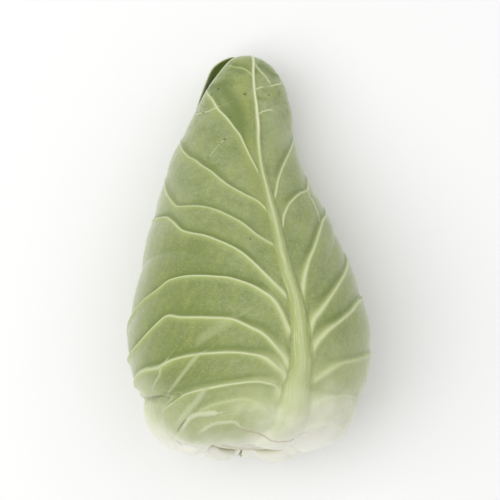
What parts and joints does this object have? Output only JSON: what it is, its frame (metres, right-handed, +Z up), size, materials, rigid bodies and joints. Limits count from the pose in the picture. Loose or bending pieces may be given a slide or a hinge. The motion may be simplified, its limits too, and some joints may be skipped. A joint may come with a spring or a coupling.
{
  "type": "pointed cabbage",
  "caption": "Pointed cabbage lying on its flank: a cone-shaped head of ribbed, waxy green leaves wrapped round a firm heart, with a short cut stump.",
  "frame": {"origin": "on the surface it rests on, under the middle of its bounding box", "axes": "+Z up, away from the surface it lies on; +Y along the head towards the tip; +X across it, to the right when the broad front leaf is seen from above with the tip away"},
  "size_m": [0.1321, 0.2277, 0.1208],
  "materials": {
    "stem": "matte, freshly cut stalk",
    "heart": "satin, pale green leaf",
    "leaf": "satin, green leaf with a pale waxy bloom",
    "inner_leaf": "satin, pale green leaf"
  },
  "bodies": {
    "root": {"stem": "stem", "heart": "heart", "leaf_1": "leaf", "leaf_2": "leaf", "leaf_3": "leaf", "leaf_4": "inner_leaf", "leaf_5": "inner_leaf"}
  },
  "joints": []
}
